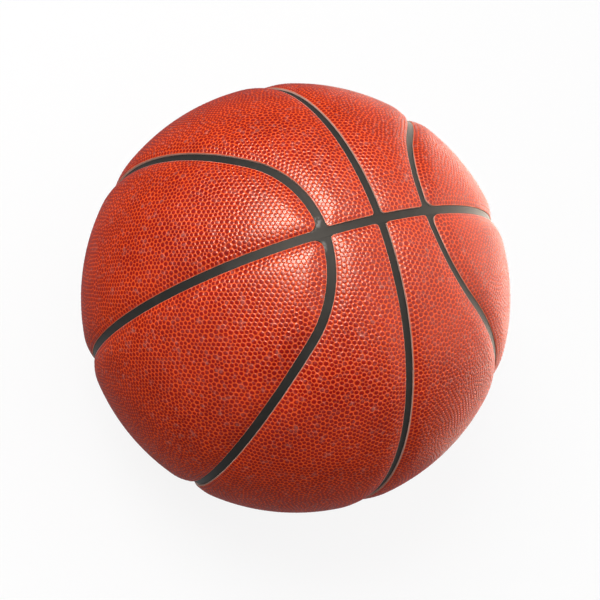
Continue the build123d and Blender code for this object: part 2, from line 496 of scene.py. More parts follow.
@dataclass
class Surface:
    """Mesh in the making: vertices in millimetres, faces as arrays of corners, values kept at the vertices.

    Normals, where there are any, are given for each corner of each face.
    """

    vertices: np.ndarray
    faces: list[np.ndarray]
    values: dict[str, np.ndarray] = field(default_factory=dict)
    normals: list[np.ndarray] = field(default_factory=list)

    def facing_out(self) -> "Surface":
        """The same surface with its faces turned over if they enclose a negative volume.

        The volume is a sixth of the sum, over the faces cut into triangles, of the triple product of their
        corners.

        Returns:
            The surface.
        """
        volume = 0.0
        for group in self.faces:
            for step in range(1, group.shape[1] - 1):
                a, b, c = (self.vertices[group[:, corner]] for corner in (0, step, step + 1))
                volume += np.einsum("ij,ij->", a, np.cross(b, c)) / 6
        if volume > 0:
            return self
        return Surface(self.vertices, [group[:, ::-1] for group in self.faces], self.values)

    def turned(self, quarter: Quarter) -> "Surface":
        """The same surface turned into a quarter of the ball."""
        normals = [quarter.turned(group) for group in self.normals]
        return Surface(quarter.turned(self.vertices), self.faces, self.values, normals)

    def piece(self, name: str, sharp_over: float) -> bpy.types.Object:
        """Write the mesh and link it.

        Args:
            name: name of the piece.
            sharp_over: angle between faces, in degrees, over which an edge is shaded sharp.

        Returns:
            The object, at the origin.
        """
        corners = np.concatenate([group.ravel() for group in self.faces]).astype(np.int32)
        sizes = np.concatenate([np.full(len(group), group.shape[1]) for group in self.faces])
        starts = np.concatenate([[0], np.cumsum(sizes)[:-1]]).astype(np.int32)
        mesh = bpy.data.meshes.new(name)
        mesh.vertices.add(len(self.vertices))
        mesh.vertices.foreach_set("co", (self.vertices * MM).astype(np.float32).ravel())
        mesh.loops.add(len(corners))
        mesh.loops.foreach_set("vertex_index", corners)
        mesh.polygons.add(len(sizes))
        mesh.polygons.foreach_set("loop_start", starts)
        mesh.update(calc_edges=True)
        mesh.validate()
        mesh.shade_smooth()
        mesh.set_sharp_from_angle(angle=math.radians(sharp_over))
        if self.normals:
            mesh.normals_split_custom_set(np.concatenate([group.reshape(-1, 3) for group in self.normals]))
        for label, values in self.values.items():
            mesh.attributes.new(label, "FLOAT", "POINT").data.foreach_set("value", values.astype(np.float32))
        made = bpy.data.objects.new(name, mesh)
        bpy.context.scene.collection.objects.link(made)
        return made


@dataclass(frozen=True)
class SeamArc:
    """Circle on the ball about an axis, followed to the left about it (+1) or to the right (-1)."""

    axis: np.ndarray
    radius: float
    way: int = 1

    def sample(self, start: np.ndarray, end: np.ndarray, gap: float) -> np.ndarray:
        """Directions along the circle from start up to, but not at, end.

        Each is the axis times the cosine of the circle's radius plus, times its sine, the start's bearing
        turned evenly about the axis.

        Args:
            start: direction on the circle, or nearest to its start.
            end: direction on the circle, or nearest to its end.
            gap: largest distance between neighbours, as an angle.

        Returns:
            The directions.
        """
        across = unit(start - (start @ self.axis) * self.axis)
        ahead = self.way * np.cross(self.axis, across)
        sweep = math.atan2(end @ ahead, end @ across) % (2 * math.pi)
        count = max(3, math.ceil(sweep * math.sin(self.radius) / gap))
        turn = np.linspace(0.0, sweep, count, endpoint=False)[:, None]
        bearing = np.cos(turn) * across + np.sin(turn) * ahead
        return math.cos(self.radius) * self.axis + math.sin(self.radius) * bearing

    def inset(self, distance: float) -> float:
        """Radius of the circle this far to the left of it."""
        return self.radius - self.way * distance


@dataclass(frozen=True)
class SeamLayout:
    """Where the seams and the rims of the panels run."""

    ball_radius: float = 121.0
    rim_radius: float = 118.85
    loop_offset: float = 29.6
    loop_tilt: float = 45.3
    slot_half_width: float = 2.25
    loop_corner: float = 4.5
    side_corner: float = 1.5
    least_corner: float = 0.3
    corner_hint: float = 0.1
    inward: float = 0.05
    fine_step: float = 0.15

    @property
    def tilt(self) -> float:
        """Angle between the long seam and a loop's straight side, in radians."""
        return math.radians(self.loop_tilt)

    @property
    def offset(self) -> float:
        """Angle from the top to where a loop crosses the long seam."""
        return self.loop_offset / self.ball_radius

    @property
    def end_radius(self) -> float:
        """Radius of a loop's end arc, which touches both straight sides of the loop."""
        return math.atan2(
            math.sin(self.offset) * math.sin(self.tilt), 1 - math.cos(self.offset) * math.sin(self.tilt)
        )

    @property
    def side_pole(self) -> np.ndarray:
        """Pole of the great circle that a loop's straight side follows."""
        return np.array([math.cos(self.tilt), -math.sin(self.tilt), 0.0])

    def end_axis(self, height: int) -> np.ndarray:
        """Centre of a loop's end arc, above (+1) or below (-1)."""
        angle = self.offset + self.end_radius
        return np.array([0.0, math.sin(angle), height * math.cos(angle)])

    def crossing(self, height: int) -> np.ndarray:
        """Where a loop crosses the long seam, above (+1) or below (-1)."""
        return np.array([0.0, math.sin(self.offset), height * math.cos(self.offset)])

    def loop_angle(self, directions: np.ndarray) -> np.ndarray:
        """Angle inside the loop round +Y, negative outside it.

        In the sector of an end arc it is the arc's radius less the angle from the arc's centre, and elsewhere
        the angle from the great circle of the straight side. The two agree on the plane through both centres.

        Args:
            directions: directions from the ball's centre.

        Returns:
            The angles.
        """
        upper = np.stack([directions[:, 0], directions[:, 1], np.abs(directions[:, 2])], axis=1)
        axis = self.end_axis(1)
        divide = np.cross(axis, self.side_pole)
        divide = divide * np.sign(divide @ TOP)
        to_end = self.end_radius - np.arccos(np.clip(upper @ axis, -1.0, 1.0))
        to_side = np.arcsin(np.clip(-(upper @ self.side_pole), -1.0, 1.0))
        return np.where(upper @ divide > 0, to_end, to_side)

    def rim_gap(self, kind: PanelKind, directions: np.ndarray, corner: float) -> np.ndarray:
        """Distance in from a panel's rim.

        Args:
            kind: kind of panel.
            directions: directions from the ball's centre.
            corner: radius by which the corners are rounded, in millimetres.

        Returns:
            The distances, in millimetres.
        """
        slot = self.slot_half_width
        long_gap = self.ball_radius * np.arcsin(directions[:, 0]) - slot
        loop_gap = self.ball_radius * self.loop_angle(directions)
        if kind is PanelKind.LOOP:
            return rounded_gap(long_gap, loop_gap - slot, corner)
        middle_gap = self.ball_radius * np.arcsin(directions[:, 1]) - slot
        return rounded_gap(rounded_gap(long_gap, middle_gap, corner), -loop_gap - slot, corner)

    def corner_centre(self, first: SeamArc, second: SeamArc, radius: float, near: np.ndarray) -> np.ndarray:
        """Centre of the arc that rounds the corner between two arcs of a rim.

        It lies at a known angle from both axes: a part of each axis, and a part square to both, of which the
        sign that is nearer to the corner is taken.

        Args:
            first: arc before the corner.
            second: arc after the corner.
            radius: radius of the rounding, as an angle.
            near: direction near the corner.

        Returns:
            The centre's direction.
        """
        lean = first.axis @ second.axis
        reach = np.cos([first.inset(radius), second.inset(radius)])
        parts = np.array([reach[0] - lean * reach[1], reach[1] - lean * reach[0]]) / (1 - lean**2)
        square = np.cross(first.axis, second.axis)
        left = 1 - parts @ parts - 2 * lean * parts[0] * parts[1]
        height = math.sqrt(left / (1 - lean**2)) * np.sign(near @ square)
        return parts[0] * first.axis + parts[1] * second.axis + height * square

    def outline(self, kind: PanelKind, inset: float, gap: float) -> np.ndarray:
        """Closed line at a distance inside a panel's rim, to the left round the panel, in the +X +Y quarter.

        Args:
            kind: kind of panel.
            inset: distance in from the rim, in millimetres.
            gap: distance between neighbours, in millimetres.

        Returns:
            Directions along the line.
        """
        slot = math.asin(self.slot_half_width / self.rim_radius) + inset / self.ball_radius
        flat = math.pi / 2 - slot
        corner_radius = self.loop_corner if kind is PanelKind.LOOP else self.side_corner
        rounding = max(corner_radius - inset, self.least_corner) / self.ball_radius
        long_arc = SeamArc(RIGHT, flat)
        if kind is PanelKind.LOOP:
            ends = {height: SeamArc(self.end_axis(height), self.end_radius - slot) for height in (1, -1)}
            arcs = [long_arc, ends[1], SeamArc(-self.side_pole, flat), ends[-1]]
            corners = [self.crossing(1), None, None, self.crossing(-1)]
        else:
            ends = {height: SeamArc(self.end_axis(height), self.end_radius + slot, -1) for height in (1, -1)}
            arcs = [SeamArc(REAR, flat), long_arc, ends[-1], SeamArc(self.side_pole, flat), ends[1], long_arc]
            beside = self.corner_hint * (RIGHT + REAR)
            corners = [beside - TOP, self.crossing(-1), None, None, self.crossing(1), beside + TOP]
        meets = []
        for number, corner in enumerate(corners):
            first, second = arcs[number], arcs[(number + 1) % len(arcs)]
            if corner is None:
                end = min(first, second, key=lambda arc: arc.radius)
                touch = towards(end.axis, self.side_pole, end.radius)
                meets.append((touch, touch, None))
            else:
                inside = unit(corner + self.inward * RIGHT)
                centre = self.corner_centre(first, second, rounding, inside)
                starts = towards(first.axis, centre, first.radius)
                meets.append((starts, towards(second.axis, centre, second.radius), SeamArc(centre, rounding)))
        fine = self.fine_step / self.ball_radius
        runs = []
        for number, arc in enumerate(arcs):
            runs.append(arc.sample(meets[number - 1][1], meets[number][0], fine))
            starts, ends_at, round_arc = meets[number]
            if round_arc is not None:
                runs.append(round_arc.sample(starts, ends_at, fine))
        return spaced(np.vstack(runs), gap / self.ball_radius)


@dataclass(frozen=True)
class ValveHole:
    """Round hole of the valve through a loop panel, in the +X +Y quarter."""

    turn: float = 30.0
    radius: float = 3.6
    dip: float = 0.55
    dip_width: float = 2.6
    fine_step: float = 0.002

    @property
    def axis(self) -> np.ndarray:
        """Direction of the valve."""
        return np.array([math.sin(math.radians(self.turn)), math.cos(math.radians(self.turn)), 0.0])

    def gap(self, directions: np.ndarray, ball_radius: float) -> np.ndarray:
        """Distance from the edge of the hole, in millimetres."""
        return ball_radius * np.arccos(np.clip(directions @ self.axis, -1.0, 1.0)) - self.radius

    def outline(self, inset: float, gap: float, ball_radius: float) -> np.ndarray:
        """Closed line round the hole, to the right about its axis.

        Args:
            inset: distance from the edge of the hole, in millimetres.
            gap: distance between neighbours, in millimetres.
            ball_radius: radius of the ball.

        Returns:
            Directions along the line.
        """
        angle = (self.radius + inset) / ball_radius
        start = towards(self.axis, TOP, angle)
        halfway = towards(self.axis, -TOP, angle)
        circle = SeamArc(self.axis, angle, -1)
        there = circle.sample(start, halfway, self.fine_step)
        back = circle.sample(halfway, start, self.fine_step)
        return spaced(np.vstack([there, back]), gap / ball_radius)


@dataclass(frozen=True)
class PebbleNet:
    """Pebbles of a panel once they have settled, with the triangles between neighbours.

    The points of the rims come first. A side of a triangle is kept once, from the lower to the higher number
    of its ends.
    """

    points: np.ndarray
    rims: list[np.ndarray]
    corners: np.ndarray

    @cached_property
    def count(self) -> int:
        """Number of points."""
        return len(self.points)

    @cached_property
    def on_rim(self) -> np.ndarray:
        """Which points lie on a rim."""
        return np.arange(self.count) <= self.rims[-1][-1]

    @cached_property
    def sides(self) -> tuple[np.ndarray, np.ndarray]:
        """Sides of the triangles, each named by its lower end times the count plus its higher end.

        Returns:
            The names in order, and the number in that list of each side of each triangle.
        """
        ends = np.stack([self.corners, np.roll(self.corners, -1, axis=1)], axis=2)
        names = ends.min(axis=2) * self.count + ends.max(axis=2)
        listed, number = np.unique(names.ravel(), return_inverse=True)
        return listed, number.reshape(self.corners.shape)

    @cached_property
    def ends(self) -> np.ndarray:
        """Lower and higher end of each side."""
        names, _ = self.sides
        return np.stack([names // self.count, names % self.count], axis=1)

    @cached_property
    def rim_sides(self) -> np.ndarray:
        """Numbers of the sides along the rims, in the order of the rims' points."""
        along = np.vstack([np.sort(np.stack([rim, np.roll(rim, -1)], axis=1), axis=1) for rim in self.rims])
        return np.searchsorted(self.sides[0], along[:, 0] * self.count + along[:, 1])

    @cached_property
    def firsts(self) -> np.ndarray:
        """Numbers of the first vertex of each kind.

        Returns:
            The first top, middle of a side, centre of a triangle, shoulder towards a side, shoulder towards a
            centre and point of the underside.
        """
        sides, triangles = len(self.ends), len(self.corners)
        return np.cumsum([0, self.count, sides, triangles, 2 * sides, 3 * triangles])


@dataclass(frozen=True)
class CoverPanels:
    """Eight cover panels, each with its pebbles, rolled rim, cut edge and underside.

    Lengths are in millimetres and leans in degrees. Shares and reaches go with the distance between pebbles.
    """

    layout: SeamLayout
    finish: PebbledLeather
    hole: ValveHole
    pitch: float = 2.4
    first_row: float = 1.25
    row_gap: float = 2.08
    roll_width: float = 9.5
    roll_entry: float = 0.24
    corner_blend: float = 5.0
    shake: float = 0.17
    inner_start: float = 1.5
    hole_start: float = 0.5
    pebble_share: float = 0.63
    reach_limit: float = 0.42
    rim_reach: float = 0.07
    lift: Span = (0.78, 1.12)
    top_height: float = 0.17
    shoulder_height: float = 0.11
    shoulder_lean: float = 4.5
    shoulder_value: float = 0.55
    rim_shoulder: float = 0.6
    valley_depth: float = 0.24
    valley_lean: float = 38.0
    meeting_lean: float = 14.0
    rim_wander: float = 0.12
    base_radius: float = 117.85
    hollow_foot: float = 2.85
    hollow_edge: float = 0.45
    hollow_slope: float = 0.225
    hollow_radius: float = 119.2
    rim_pull: float = 3.0
    rounds: int = 12
    smoothings: int = 3
    seed: int = 11
    sharp_corner: float = 0.1
    cut_corner: float = 0.001
    weld: float = 1e-7
    slope_step: float = 0.002
    sharp_over: float = 52.0

    def seeds(self, kind: PanelKind, hole: bool) -> tuple[np.ndarray, list[np.ndarray]]:
        """Places of the pebbles, before they settle.

        The rim comes first, then rows along it, then the points of an even spiral over the ball that fall
        inside: point i of n is at the height 1 - 2i/n and turned by i times the golden angle.

        Args:
            kind: kind of panel.
            hole: whether the valve goes through it.

        Returns:
            The directions, and the numbers of those on each rim.
        """
        radius = self.layout.ball_radius
        rims = [self.wandering(self.layout.outline(kind, 0.0, self.pitch / 2))]
        rows = [self.layout.outline(kind, self.first_row, self.pitch)]
        rows.append(self.layout.outline(kind, self.first_row + self.row_gap, self.pitch))
        if hole:
            rims.append(self.hole.outline(0.0, self.pitch / 2, radius))
            rows.append(self.hole.outline(self.first_row, self.pitch, radius))
        count = round(4 * math.pi * radius**2 / (math.sqrt(0.75) * self.pitch**2))
        order = np.arange(count) + 0.5
        height = 1 - 2 * order / count
        turn = order * math.pi * (3 - math.sqrt(5))
        level = np.sqrt(1 - height**2)
        spiral = np.stack([height, level * np.cos(turn), level * np.sin(turn)], axis=1)
        spiral = spiral[(spiral[:, 0] > 0) & (spiral[:, 1] > 0)]
        to_rim = self.layout.rim_gap(kind, spiral, self.sharp_corner)
        clear = to_rim > self.first_row + self.inner_start * self.row_gap
        if hole:
            clear &= self.hole.gap(spiral, radius) > self.first_row + self.hole_start * self.row_gap
        inner = spiral[clear]
        spread = self.shake * self.pitch / radius
        shake = np.random.default_rng(self.seed).normal(0.0, spread, inner.shape)
        sizes = np.cumsum([0] + [len(rim) for rim in rims])
        numbers = [np.arange(start, end) for start, end in zip(sizes[:-1], sizes[1:])]
        return np.vstack(rims + rows + [unit(inner + shake)]), numbers

    def wandering(self, rim: np.ndarray) -> np.ndarray:
        """Rim with each point moved inwards by a random share of the wander, as the knife leaves it.

        Args:
            rim: directions along the rim.

        Returns:
            The directions after the move.
        """
        ahead = np.roll(rim, -1, axis=0) - np.roll(rim, 1, axis=0)
        share = np.random.default_rng(self.seed + 2).uniform(0.0, self.rim_wander, (len(rim), 1))
        return unit(rim + share / self.layout.ball_radius * unit(np.cross(rim, ahead)))

    def triangles(
        self, kind: PanelKind, hole: bool, points: np.ndarray, rims: list[np.ndarray]
    ) -> np.ndarray:
        """Triangles between neighbouring pebbles, cut off at the rims.

        The points are thrown on a plane from the far side of the ball, which keeps circles round, so that the
        plane's triangulation is the ball's.

        Args:
            kind: kind of panel.
            hole: whether the valve goes through it.
            points: directions of the pebbles.
            rims: numbers of the points on each rim.

        Returns:
            The numbers of the points at the three corners of each triangle.
        """
        centre = unit(points.mean(axis=0))
        across = unit(np.cross(centre, TOP))
        ahead = np.cross(centre, across)
        flat = np.stack([points @ across, points @ ahead], axis=1) / (1 + points @ centre)[:, None]
        edges = np.vstack([np.stack([rim, np.roll(rim, -1)], axis=1) for rim in rims])
        places = [Vector(place) for place in flat]
        found = delaunay_2d_cdt(places, edges.tolist(), [], 0, self.weld, True)
        origin = np.array([numbers[0] for numbers in found[3]])
        corners = origin[np.array(found[2])]
        middle = unit(points[corners].sum(axis=1))
        inside = self.layout.rim_gap(kind, middle, self.cut_corner) > 0
        if hole:
            inside &= self.hole.gap(middle, self.layout.ball_radius) > 0
        return corners[inside]

    def settled(self, kind: PanelKind, hole: bool) -> PebbleNet:
        """Pebbles after each has moved repeatedly half-way to the mean of its neighbours.

        The rims and the first row along the outer one stay.

        Args:
            kind: kind of panel.
            hole: whether the valve goes through it.

        Returns:
            The pebbles and the triangles between them.
        """
        points, rims = self.seeds(kind, hole)
        first = len(self.layout.outline(kind, self.first_row, self.pitch))
        kept = rims[-1][-1] + 1 + first
        for _ in range(self.rounds):
            corners = self.triangles(kind, hole, points, rims)
            pairs = np.vstack([corners[:, [0, 1]], corners[:, [1, 2]], corners[:, [2, 0]]])
            degree = np.bincount(pairs[:, 0], minlength=len(points))[:, None]
            for _ in range(self.smoothings):
                total = np.zeros_like(points)
                np.add.at(total, pairs[:, 0], points[pairs[:, 1]])
                points[kept:] = unit(0.5 * points + 0.5 * total / np.maximum(degree, 1))[kept:]
        return PebbleNet(points, rims, self.triangles(kind, hole, points, rims))

    def crown(self, kind: PanelKind, hole: bool, directions: np.ndarray) -> np.ndarray:
        """Radius of the cover under its pebbles.

        It is the ball's radius less the roll, which is an even slope plus a square law of the share of the
        way from the crown to the rim, less a small dip by the square of the nearness to the valve.

        Args:
            kind: kind of panel.
            hole: whether the valve goes through it.
            directions: directions from the ball's centre.

        Returns:
            The radii.
        """
        gap = self.layout.rim_gap(kind, directions, self.corner_blend)
        share = np.clip(1 - gap / self.roll_width, 0.0, 1.0)
        roll = self.roll_entry * share + (1 - self.roll_entry) * share**2
        radius = self.layout.ball_radius - kind.roll_drop * roll
        if hole:
            to_hole = self.hole.gap(directions, self.layout.ball_radius)
            near = np.clip(1 - to_hole / self.hole.dip_width, 0.0, 1.0)
            radius = radius - self.hole.dip * near**2
        return radius

    def facing(self, kind: PanelKind, hole: bool, directions: np.ndarray) -> np.ndarray:
        """Normals of the cover under its pebbles.

        A normal is the direction less the slope of the radius, which is found from a small step each of two
        ways.

        Args:
            kind: kind of panel.
            hole: whether the valve goes through it.
            directions: directions from the ball's centre.

        Returns:
            The normals.
        """
        # A direction on the long seam, which no panel reaches.
        off_panel = TOP + 0.4 * REAR
        across = unit(np.cross(directions, off_panel))
        here = self.crown(kind, hole, directions)
        slope = np.zeros_like(directions)
        step = self.slope_step
        for way in (across, np.cross(directions, across)):
            there = self.crown(kind, hole, unit(directions + step * way))
            slope += ((there - here) / (step * here))[:, None] * way
        return unit(directions - slope)

    def leaning(
        self,
        facing: np.ndarray,
        directions: np.ndarray,
        faces: np.ndarray,
        owners: np.ndarray,
        lean: np.ndarray,
    ) -> np.ndarray:
        """Normals at the corners of the faces of pebbles.

        At each corner the cover's normal turns away from the pebble's top: it is the normal times the cosine
        of the lean plus the way from the top times its sine.

        Args:
            facing: normals of the cover under each direction.
            directions: directions of the vertices.
            faces: vertices of each face.
            owners: vertex at the top of the pebble that each face belongs to.
            lean: lean at each corner, in degrees.

        Returns:
            The normals.
        """
        out = facing[faces]
        away = directions[faces] - directions[owners][:, None]
        away = away - np.einsum("ijk,ijk->ij", away, out)[..., None] * out
        away = away / np.maximum(np.linalg.norm(away, axis=-1, keepdims=True), TINY)
        angle = np.radians(lean)[..., None]
        return np.cos(angle) * out + np.sin(angle) * away

    def underside(self, kind: PanelKind, directions: np.ndarray) -> np.ndarray:
        """Radius of the underside: flat at the rim, then a step and a slope up to the hollow for the pad.

        Args:
            kind: kind of panel.
            directions: directions from the ball's centre.

        Returns:
            The radii.
        """
        gap = self.layout.rim_gap(kind, directions, self.corner_blend)
        slope = self.base_radius + self.hollow_edge + self.hollow_slope * (gap - self.hollow_foot)
        return np.where(gap < self.hollow_foot, self.base_radius, np.minimum(slope, self.hollow_radius))

    def shoulder_reach(self, net: PebbleNet) -> np.ndarray:
        """Distance of each pebble's shoulder from its top.

        It is a share of half the mean distance to the neighbours, limited by the nearest one. A side that
        ends on a rim counts for longer, because its middle is pulled towards the rim.

        Args:
            net: pebbles of the panel.

        Returns:
            The distance for each point, as an angle.
        """
        lows, highs = net.ends.T
        length = np.linalg.norm(net.points[lows] - net.points[highs], axis=1)
        to_rim = net.on_rim[lows] | net.on_rim[highs]
        length *= np.where(to_rim, 2 * self.rim_pull / (1 + self.rim_pull), 1.0)
        shortest = np.full(net.count, np.inf)
        np.minimum.at(shortest, lows, length)
        np.minimum.at(shortest, highs, length)
        total = np.bincount(lows, length, net.count) + np.bincount(highs, length, net.count)
        degree = np.bincount(lows, minlength=net.count) + np.bincount(highs, minlength=net.count)
        mean = total / np.maximum(degree, 1)
        inner = np.minimum(self.pebble_share * mean / 2, self.reach_limit * shortest)
        return np.where(net.on_rim, self.rim_reach * shortest, inner)

    def relief(self, net: PebbleNet) -> tuple[np.ndarray, np.ndarray]:
        """Vertices of the pebbled side, in the order of the net's kinds.

        Each triangle between three pebbles is shared out among them by its centre and the middles of its
        sides, which are pulled towards a rim, so that the pebbles beside it are as large as the rest. A
        pebble is a top, a ring of shoulder points at one distance from the top, and the valley where it meets
        its neighbours.

        Args:
            net: pebbles of the panel.

        Returns:
            The directions, and the heights over the cover's crown.
        """
        points, ends, corners, on_rim = net.points, net.ends, net.corners, net.on_rim
        pulled = np.where(on_rim, self.rim_pull, 1.0)[:, None] * points
        middles = unit(pulled[ends[:, 0]] + pulled[ends[:, 1]])
        centres = unit(pulled[corners].sum(axis=1))
        reach = self.shoulder_reach(net)
        to_middle = unit(middles[:, None] - points[ends])
        ring_side = unit(points[ends] + reach[ends][..., None] * to_middle).reshape(-1, 3)
        to_centre = unit(centres[:, None] - points[corners])
        ring_centre = unit(points[corners] + reach[corners][..., None] * to_centre).reshape(-1, 3)

        rng = np.random.default_rng(self.seed + 1)
        lift = np.where(on_rim, 0.0, rng.uniform(*self.lift, net.count))
        middle_height = np.full(len(middles), -self.valley_depth)
        middle_height[net.rim_sides] = 0.0
        centre_height = np.full(len(centres), -self.valley_depth)
        shoulder = np.where(on_rim, -self.rim_shoulder * self.valley_depth, self.shoulder_height * lift)
        shoulders = [shoulder[ends].ravel(), shoulder[corners].ravel()]
        heights = np.concatenate([self.top_height * lift, middle_height, centre_height, *shoulders])
        return np.vstack([points, middles, centres, ring_side, ring_centre]), heights

    def pebble_faces(
        self, net: PebbleNet, directions: np.ndarray, facing: np.ndarray
    ) -> tuple[list[np.ndarray], list[np.ndarray]]:
        """Faces of the pebbled side.

        In each triangle a pebble has two faces from its top to its ring, and two from its ring to the valley.

        Args:
            net: pebbles of the panel.
            directions: directions of the vertices.
            facing: normals of the cover under each of them.

        Returns:
            The faces in two groups, on the tops and on the slopes, and the normals at their corners.
        """
        _, first_middle, first_centre, first_side_ring, first_centre_ring, _ = net.firsts
        _, sides = net.sides
        highs = net.ends[:, 1]
        triangle = np.arange(len(net.corners))
        shoulder, valley, meeting = self.shoulder_lean, self.valley_lean, self.meeting_lean
        tops, slopes, top_normals, slope_normals = [], [], [], []
        for corner in range(3):
            owner = net.corners[:, corner]
            ahead, behind = sides[:, corner], sides[:, corner - 1]
            ring_ahead = first_side_ring + 2 * ahead + (owner == highs[ahead])
            ring_behind = first_side_ring + 2 * behind + (owner == highs[behind])
            ring_middle = first_centre_ring + 3 * triangle + corner
            centre = first_centre + triangle
            raised = ~net.on_rim[owner][:, None]
            for ring in ((ring_ahead, ring_middle), (ring_middle, ring_behind)):
                faces = np.stack([owner, *ring], axis=1)
                lean = raised * np.array([0.0, shoulder, shoulder])
                tops.append(faces)
                top_normals.append(self.leaning(facing, directions, faces, owner, lean))
            for slope, leans in (
                ((ring_ahead, first_middle + ahead, centre, ring_middle), (valley, meeting)),
                ((ring_middle, centre, first_middle + behind, ring_behind), (meeting, valley)),
            ):
                faces = np.stack(slope, axis=1)
                lean = raised * np.array([shoulder, *leans, shoulder])
                slopes.append(faces)
                slope_normals.append(self.leaning(facing, directions, faces, owner, lean))
        return [np.vstack(tops), np.vstack(slopes)], [np.vstack(top_normals), np.vstack(slope_normals)]

    def marks(self, net: PebbleNet) -> dict[str, np.ndarray]:
        """Values that the finish reads at the vertices.

        Args:
            net: pebbles of the panel.

        Returns:
            pebble, which is 1 on a top and 0 in a valley, and rim, which is 1 at the cut edge.
        """
        _, first_middle, _, first_side_ring, first_centre_ring, first_bottom = net.firsts
        shoulder = np.where(net.on_rim, 0.0, self.shoulder_value)
        pebble = np.zeros(first_bottom + net.count)
        pebble[: net.count] = ~net.on_rim
        pebble[first_side_ring:first_centre_ring] = shoulder[net.ends].ravel()
        pebble[first_centre_ring:first_bottom] = shoulder[net.corners].ravel()
        rim = np.zeros(first_bottom + net.count)
        rim[: net.count] = net.on_rim
        rim[first_middle + net.rim_sides] = 1.0
        rim[first_bottom:] = 1.0
        return {"pebble": pebble, "rim": rim}

    def surface(self, kind: PanelKind, hole: bool) -> Surface:
        """Closed panel in the +X +Y quarter.

        The pebbled side lies over the crown, the wall drops from the rim, and the underside repeats the bare
        triangles.

        Args:
            kind: kind of panel.
            hole: whether the valve goes through it.

        Returns:
            The surface, with the values that its finish reads.
        """
        net = self.settled(kind, hole)
        directions, heights = self.relief(net)
        top = directions * (self.crown(kind, hole, directions) + heights)[:, None]
        below = np.where(net.on_rim, self.base_radius, self.underside(kind, net.points))
        vertices = np.vstack([top, net.points * below[:, None]])
        faces, normals = self.pebble_faces(net, directions, self.facing(kind, hole, directions))

        first_middle, first_bottom = net.firsts[1], net.firsts[-1]
        starts = np.concatenate(net.rims)
        ends = np.concatenate([np.roll(rim, -1) for rim in net.rims])
        middles = first_middle + net.rim_sides
        wall = np.stack([first_bottom + starts, first_bottom + ends, ends, middles, starts], axis=1)
        along = vertices[wall[:, 1]] - vertices[wall[:, 0]]
        outward = unit(np.cross(along, vertices[wall[:, 2]] - vertices[wall[:, 1]]))
        turned_over = net.corners[:, ::-1]
        faces += [wall, first_bottom + turned_over]
        normals += [np.repeat(outward[:, None], wall.shape[1], axis=1), -net.points[turned_over]]
        return Surface(vertices, faces, self.marks(net), normals)

    def build(self) -> None:
        """Make the panels of all four quarters, in place of their solids."""
        material = self.finish.material()
        surfaces = {(kind, False): self.surface(kind, False) for kind in PanelKind}
        surfaces[PanelKind.LOOP, True] = self.surface(PanelKind.LOOP, True)
        for quarter in Quarter:
            for kind in PanelKind:
                hole = kind is PanelKind.LOOP and quarter is Quarter.REAR_LEFT
                name = f"cover_{kind.value}_{quarter.label}"
                piece = surfaces[kind, hole].turned(quarter).piece(name, self.sharp_over)
                piece.data.materials.append(material)
                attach(piece, "ball")
                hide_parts(f"cover_panel_{kind.value}_{quarter.label}")
                LOG.info("%s: %d faces", name, len(piece.data.polygons))


